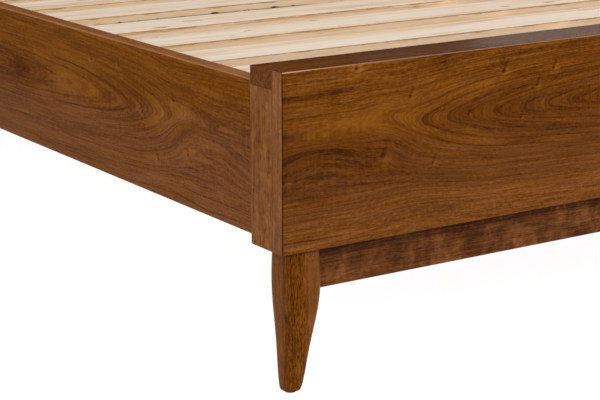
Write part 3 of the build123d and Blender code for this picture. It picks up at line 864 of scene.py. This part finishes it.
# %% [markdown]
# ## The headboard's panel
#
# The headboard is too wide for one sheet of such a figure, so two are opened like the pages of a
# book and meet in the middle. Their arches start at that joint and open towards the posts. As the
# two sheets were neighbours in the same log, one is the mirror image of the other. Two finishes
# could do it, but one is enough, as the map is simply the distance from the joint.


# %% Finish of the headboard's panel
def head_panel_finish():
    finish = Finish("headboard_veneer")
    x, y, z = position(finish)
    low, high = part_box("head_panel")
    along = abs(x)
    tip_height = 0.46 * (low.z + high.z) * MM
    offset = z - tip_height + 14.0 * noise(finish, along / 300.0, z / 160.0, 3.0)
    ring = (offset * offset + 45.0 ** 2) ** 0.5 - 0.17 * along + y + 200.0
    tone = wood_tone(finish, 0.8 * ring, along, y, 13.0, 15.0)
    tone = tone + 0.35 * hump(offset, 0.0, 70.0) - 0.10
    drift = noise(finish, ring / 12.0, 2.0, along / 200.0)
    colour = blend_colour(0.35 + 0.8 * drift, stain(tone, GOLDEN), stain(tone, RUSSET))
    colour = blend_colour(0.6 * hump(x, 0.0, 0.5), colour, JOINT_LINE)
    return lacquered(finish, colour, tone)


dress(head_panel_finish(), "head_panel")

# %% [markdown]
# ## Solid timber
#
# The caps, inner rails and edge bands are sawn from solid planks. A plank's rings are circles
# about the heart of the tree, so it is enough to say which way the grain runs and where that heart
# lay: the faces then show straight or arched grain by themselves, as a saw would find it. Drawing
# each face by itself would leave the grain broken at the edges. End grain drinks more stain, so
# the ends are darker and mottled.


# %% Solid timber
def timber_finish(name, run, heart, stops, seed=0.0, placed=(0.40, 0.53), ends=None, rough=SATIN):
    """Solid stained timber whose grain runs along one axis.

    heart is where the middle of the tree lay, across the grain: z and y where the grain runs
    along X, and x and y where it stands along Z. placed is the contrast and middle of the stain,
    and ends how far the end faces lie from x = 0.
    """
    finish = Finish(name)
    x, y, z = position(finish)
    along, across, deep = {"X": (x, z, y), "Z": (z, x, y)}[run]
    sway = 2.5 * noise(finish, along / 160.0, across / 60.0, deep / 60.0 + seed, detail=1.0)
    from_heart = (across - heart[0], deep - heart[1])
    ring = (from_heart[0] ** 2 + from_heart[1] ** 2) ** 0.5 + sway
    tone = wood_tone(finish, ring, along, across + deep, 9.0, seed)
    colour = stain(tone, stops, *placed)
    if ends:
        end_face = ease(abs(along), ends - 1.0, ends - 0.6)
        mottle = noise(finish, x / 3.0, y / 3.0, z / 3.0, detail=2.0)
        end_grain = stain(0.25 * tone + 0.45 * mottle, DARK, 0.45, 0.64)
        colour = blend_colour(end_face, colour, end_grain)
    return lacquered(finish, colour, tone, rough)


half_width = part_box("foot_post_left")[0].x * -MM
foot = round(cad_box[0].y * MM)
head = round(cad_box[1].y * MM)
edge_band = timber_finish("edge_band_timber", "Z", (0, foot - 93), ROSY, 3.0, (0.45, 0.62))
foot_cap = timber_finish("cap_timber", "X", (380, foot - 13), DARK, 6.0, ends=half_width, rough=POLISHED)
head_cap = timber_finish("head_cap_timber", "X", (900, head + 203), GOLDEN, 2.0, ends=half_width)
head_post = timber_finish("head_post_timber", "Z", (0, head - 397), RUSSET, 9.0)
inner_rail = timber_finish("stained_rail", "X", (260, foot - 203), RUSSET, 5.0, (0.35, 0.45))
dress(edge_band, "foot_panel_edge_left", "foot_panel_edge_right")
dress(foot_cap, "foot_cap_rail")
dress(head_cap, "head_cap_rail")
dress(head_post, "head_post_left", "head_post_right")
dress(inner_rail, "foot_inner_rail", "foot_bottom_rail", "head_lower_rail", "head_bottom_rail")

# %% [markdown]
# ## The curly apron
#
# The apron under the footboard is cut where the fibres wave in and out of the surface. Light sinks
# into them end-on and skips off them side-on, which makes dark bands across the grain. A wave
# texture would draw them like a ruler. A noise that is short along the apron and tall across it
# does better, bent and leaning so that the bands never line up, and strong only in patches. Close
# under the slab the wood is painted darker, a painted shadow of the slab that overhangs it.


# %% Finish of the aprons
def apron_finish():
    finish = Finish("apron_timber")
    x, y, z = position(finish)
    sway = 2.0 * noise(finish, x / 110.0, z / 30.0, 4.0, detail=1.0)
    ring = z * 0.9 + y * 0.4 + sway
    tone = wood_tone(finish, ring, x, y, 11.0, 8.0)
    bend = 6.0 * noise(finish, x / 50.0, z / 22.0, 9.0, detail=1.0)
    leaning = (z - 0.25 * x) / 34.0
    curl = noise(finish, (x + bend) / 12.0, leaning, y / 40.0, detail=1.5, roughness=0.55)
    patch = noise(finish, x / 42.0, z / 40.0, 2.0, detail=1.0)
    tone = tone + 0.68 * curl * ease(patch, -0.5, 0.4, 0.35, 1.0) + 0.70 * patch - 0.46
    below_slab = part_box("foot_apron")[1].z * MM - z
    # painted shadow: darker close under the slab that overhangs the apron
    tone = tone - 0.55 * fade(below_slab, 2.0, 20.0)
    rosy = 0.55 + 0.4 * noise(finish, ring / 12.0, x / 200.0, 3.0)
    return lacquered(finish, blend_colour(rosy, stain(tone, RUSSET), stain(tone - 0.20, ROSY)), tone)


dress(apron_finish(), "foot_apron", "head_apron")

# %% [markdown]
# ## Legs
#
# A leg is squared from a plank so that its outer corner meets the rings flat on. There the rays of
# the wood come out as small dark flecks, while the two faces beside it keep straight streaks. The
# two looks could be split by which way the round leg faces, but then the border would be too sharp.
# Here it depends on how far out and back a point lies from the middle of the leg.


# %% Finish of the legs
def leg_finish(name, node):
    """The timber of the leg at node and of its twin on the other side of the bed."""
    finish = Finish(name)
    x, y, z = position(finish)
    low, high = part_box(node)
    centre = (low + high) * 0.5 * MM
    out = abs(x) - abs(centre.x)
    back = y - centre.y
    sway = 2.0 * noise(finish, z / 120.0, x / 40.0, y / 40.0, detail=1.0)
    ring = out * 0.7 + back * 0.7 + sway + 40.0
    tone = wood_tone(finish, ring, z, out - back, 8.0, 1.0)
    corner_face = fade(abs(out + back + 7.0), 12.0, 27.0)
    fleck = noise(finish, x / 1.3, y / 1.3, z / 9.0, detail=1.0)
    tone = tone + 0.20 - 0.95 * ease(fleck, -0.05, 0.50) * corner_face
    faces = stain(tone, RUSSET)
    corners = stain(tone, GOLDEN, 0.40, 0.47)
    return lacquered(finish, blend_colour(corner_face, faces, corners), tone)


dress(leg_finish("foot_leg_timber", "foot_leg_left"), "foot_leg_left", "foot_leg_right")
dress(leg_finish("head_leg_timber", "head_leg_left"), "head_leg_left", "head_leg_right")

# %% [markdown]
# ## Foot posts
#
# The post's side faces are the rosiest, and the most mottled, as stain takes unevenly on a
# quarter-sawn face. The timber of the caps would be too even here, so the post has its own mottle
# at a few millimetres. A hairline of dark glue shows where the cap sits on the post, a little
# ragged because the shoulder there is cut by hand, and another against the edge band in front.

# %% Finish of the foot posts
PLANK_HEART = 700.0  # how far the rings' middle lies from the middle of the bed, to either side


def post_finish():
    finish = Finish("foot_post_timber")
    x, y, z = position(finish)
    low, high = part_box("foot_post_left")
    inwards = y - low.y * MM
    sway = 2.0 * noise(finish, z / 150.0, y / 50.0, 6.0)
    ring = inwards * 0.8 + (abs(x) - PLANK_HEART) * 0.5 + sway
    mottle = noise(finish, y / 5.0, z / 9.0, x / 5.0, detail=2.0)
    tone = wood_tone(finish, ring, z, abs(x), 9.0, 4.0) + 0.45 * mottle + 0.30
    rosy = 0.70 + 0.4 * noise(finish, y / 9.0, z / 90.0, 1.0)
    colour = blend_colour(rosy, stain(tone, GOLDEN), stain(tone, ROSY))
    ragged = z + 0.5 * noise(finish, y / 7.0, x / 7.0, 0.0)
    under_cap = ease(high.z * MM - ragged, 0.5, 1.4, 0.8, 0.0)
    joint = under_cap.or_more(ease(inwards, 0.5, 1.3, 0.65, 0.0))
    return lacquered(finish, blend_colour(joint, colour, JOINT_LINE), tone)


dress(post_finish(), "foot_post_left", "foot_post_right")

# %% [markdown]
# ## The colour of planed pine
#
# The mattress rests on planed pine that nobody stained. It is cream with soft tan bands, thin
# brown lines and a few knots with a dark rim, yellower on some boards and pinker in patches. The
# tone of walnut has rings and pores that pine doesn't show, so pine has a tone of its own, made of
# fewer and longer noises. The sawn fronts are painted a deeper tan than the planed tops: partly
# their own colour, partly painted shade, as they are turned from the light overhead.

# %% Colour of planed pine
PINE = [
    (0.0, paint(146, 98, 58)),
    (0.22, paint(188, 142, 100)),
    (0.42, paint(226, 195, 158)),
    (0.60, paint(241, 223, 202)),
    (1.0, paint(247, 237, 223)),
]


def pine_colour(finish, ring, along, across, deep, side, seed):
    """Colour and tone of the bare boards; side is 1 on their sawn fronts."""
    knot = noise(finish, along / 50.0, across / 15.0, deep / 11.0 + seed, detail=0.0)
    ring = ring + 5.0 * ease(knot, 0.5, 1.3)
    band = noise(finish, ring / 15.0, along / 1100.0, seed, detail=1.0)
    line = noise(finish, ring / 5.0, along / 700.0, seed + 4.0, detail=1.0)
    vein = fade(abs(line), 0.0, 0.13) * ease(band, -0.5, 0.3, 1.0, 0.15)
    streak = noise(finish, ring / 2.2, along / 130.0, seed + 8.0, detail=2.0, roughness=0.6)
    fibre = noise(finish, ring / 0.7, along / 30.0, 1.0, detail=2.0)
    tone = (0.58 * band + 0.62 * streak + 0.30 * fibre - 0.60 * vein) * (1.0 + side)
    colour = stain(tone, PINE, 0.42, 0.73)
    board_shade = noise(finish, ring / 13.0, along / 900.0, seed + 1.5, detail=1.0)
    colour = blend_colour(ease(board_shade, 0.0, 0.7, 0.0, 0.7), colour, paint(238, 210, 168))
    flush = noise(finish, along / 210.0, across / 22.0, seed + 6.0, detail=1.0)
    colour = blend_colour(ease(flush, 0.35, 0.9, 0.0, 0.45), colour, paint(226, 184, 156))
    colour = blend_colour(ease(knot, 1.26, 1.34, 0.0, 0.8), colour, paint(154, 100, 58))
    colour = blend_colour(0.60 * hump(knot, 1.29, 0.05), colour, paint(116, 66, 32))
    # partly painted shade: faces turned sideways get a deeper tan, which is also the sawn wood's own colour
    return blend_colour(0.60 * side, colour, paint(222, 178, 126)), tone


print("pine, from the brown of its veins to cream, in", len(PINE), "steps")

# %% [markdown]
# ## Slats, ledgers and the centre beam
# No two slats come from the same board. Each could have a material of its own, but fourteen would
# say the same thing, so the number of the slat is worked out from its place and shifts every
# noise. Ledgers and beam run the other way and the centre legs stand, so the finish is told which
# way the grain runs. Along the top of the slats' sawn fronts runs a ragged brown line, partly their
# rough edge and partly painted shade of the rounded edge, and one of them has a thin dark line
# with a few thicker lumps along the lower edge of its front. The sawn fronts of the slats have ragged brown
# edges, and one of them still
# shows a dark strip of the bark.

# %% Finish of planed pine
SLATS = sorted(name for name in nodes if name.startswith("slat_") and name[5:].isdigit())
DARK_LINE_SLAT = 5  # the slat with a dark line along the lower edge of its front, counted from 0 at the foot
GAP_SHARE = 0.19  # the part of the pitch, in front of a slat, that counts as its own
slat_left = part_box(SLATS[DARK_LINE_SLAT])[0].x * MM
slat_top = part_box(SLATS[0])[1].z * MM
first_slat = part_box(SLATS[0])[0].y * MM
slat_pitch = (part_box(SLATS[-1])[0].y * MM - first_slat) / (len(SLATS) - 1)
print("slats:", len(SLATS), "one every", round(slat_pitch, 1), "mm")


def dark_lower_line(finish, along, below):
    """A thin dark line with a few thicker lumps along the lower edge of a sawn front."""
    from_left = along - slat_left
    lumps = ease(noise(finish, along / 30.0, 2.0, 0.0), 0.15, 0.65)
    dark_lower_mark = ease(below + 1.7 * lumps, 10.9, 11.9) * (0.65 + 0.35 * lumps)
    return dark_lower_mark * ease(from_left, 180.0, 205.0) * fade(from_left, 560.0, 620.0)


def pine_finish(name, run):
    """Bare pine whose grain runs along the axis run."""
    finish = Finish(name)
    x, y, z = position(finish)
    along, across, deep = {"X": (x, y, z), "Y": (y, x, z), "Z": (z, x, y)}[run]
    board = ((across - first_slat) / slat_pitch + GAP_SHARE).floor()
    seed = board * 7.31  # a step wide enough that no noise of one board shows on the next
    sway = 4.0 * noise(finish, along / 380.0, across / 60.0, seed, detail=1.0)
    ring = across * 0.8 + deep * 1.6 + sway
    normal = finish.node("ShaderNodeNewGeometry", {}, {}, "Normal")
    facing = finish.node("ShaderNodeSeparateXYZ", {}, {0: normal}, 1)
    side = ease(abs(facing), 0.6, 0.95)
    colour, tone = pine_colour(finish, ring, along, across, deep, side, seed)
    ragged = noise(finish, along / 30.0, across / 9.0, seed + 3.0, detail=2.0)
    below = slat_top - z
    # a brown line along the top of each front and on the rounded edges: partly the ragged sawn edge, partly
    # painted shade of the edge
    edge = side * ease(below + 1.6 * ragged, 1.0, 3.2, 0.75, 0.0)
    edge = edge.or_more(0.40 * hump(side, 0.25, 0.3))
    colour = blend_colour(edge, colour, paint(156, 108, 62))
    if run == "X":
        # a thin dark line with a few lumps along the lower edge of one slat's front
        dark_lower_mark = dark_lower_line(finish, along, below) * side * hump(board, DARK_LINE_SLAT, 0.3)
        colour = blend_colour(dark_lower_mark, colour, paint(60, 34, 16))
    return shade(finish, colour, 0.62 - 0.05 * tone, relief(tone, 0.2, 0.0003), 0.25)


dress(pine_finish("planed_pine", "X"), *SLATS)
dress(pine_finish("planed_pine_lengthwise", "Y"), "slat_ledger_left", "slat_ledger_right", "centre_beam")
dress(pine_finish("planed_pine_upright", "Z"), "centre_leg_1", "centre_leg_2")

# %% [markdown]
# ## Metal fittings
#
# Brackets, hook plates, screws and bolts are zinc-plated steel, and the threaded inserts are
# brass. A single grey with full gloss would be chrome. Plating grows as fine crystals, so its
# colour is mottled at a few millimetres, hands leave a slower haze on its gloss, and nothing on it
# is a mirror.


# %% Finish of the metal fittings
def metal_finish(name, light, dark, rough):
    """A plated or bare metal, mottled between a light and a dark colour."""
    finish = Finish(name)
    x, y, z = position(finish)
    mottle = noise(finish, x / 3.0, y / 3.0, z / 3.0, detail=3.0)
    haze = noise(finish, x / 14.0, y / 14.0, z / 14.0, detail=1.0)
    colour = blend_colour(ease(0.6 * mottle + 0.5 * haze, -0.8, 0.8), dark, light)
    return shade(finish, colour, rough + 0.08 * haze, relief(mottle, 0.1, 0.0001), 0.5, 1.0)


zinc_plate = metal_finish("zinc_plate", paint(205, 207, 210), paint(160, 163, 168), 0.34)
zinc_bright = metal_finish("zinc_fasteners", paint(214, 214, 212), paint(176, 176, 172), 0.28)
brass = metal_finish("brass", paint(214, 178, 104), paint(176, 138, 66), 0.3)
fasteners = [name for name in nodes if name.endswith(("_screws", "_bolts"))]
stems = [name for name in nodes if name.startswith("leveller_stem")]
dress(zinc_plate, "beam_bracket_foot", "beam_bracket_head", "rail_hook_plates", "post_slot_plates")
dress(zinc_bright, *fasteners, *stems)
dress(brass, "leveller_inserts")

# %% [markdown]
# ## Felt, nylon and beech
#
# The glides under the legs are grey felt, the feet of the levellers black nylon and the dowels
# plain beech. None is glossy. Each could be built up by itself, but the pieces are small and hardly
# seen, so one function does for all: a fine grain of its own size in colour and relief, over a
# slow drift from light to dark.


# %% Finish of felt, nylon and beech
def soft_finish(name, light, dark, grain, rough, depth):
    """A dull material with a fine grain: its size in millimetres, its depth in metres."""
    finish = Finish(name)
    x, y, z = position(finish)
    fine = noise(finish, x / grain, y / grain, z / grain, detail=3.0, roughness=0.6)
    coarse = 9 * grain
    slow = noise(finish, x / coarse, y / coarse, z / coarse, detail=1.0)
    colour = blend_colour(ease(0.7 * fine + 0.4 * slow, -0.8, 0.8), dark, light)
    return shade(finish, colour, rough + 0.05 * slow, relief(fine, 0.5, depth), 0.3)


felt = soft_finish("grey_felt", paint(92, 88, 84), paint(58, 54, 52), 0.5, 0.95, 0.0004)
nylon = soft_finish("black_nylon", paint(44, 44, 46), paint(30, 30, 32), 0.8, 0.5, 0.0001)
beech = soft_finish("beech", paint(222, 190, 150), paint(200, 160, 118), 1.2, 0.6, 0.0002)
dress(felt, "leg_glides")
dress(nylon, "leveller_pad_1", "leveller_pad_2")
dress(beech, "dowels")
print("pieces without a finish:", sorted(set(nodes) - dressed))
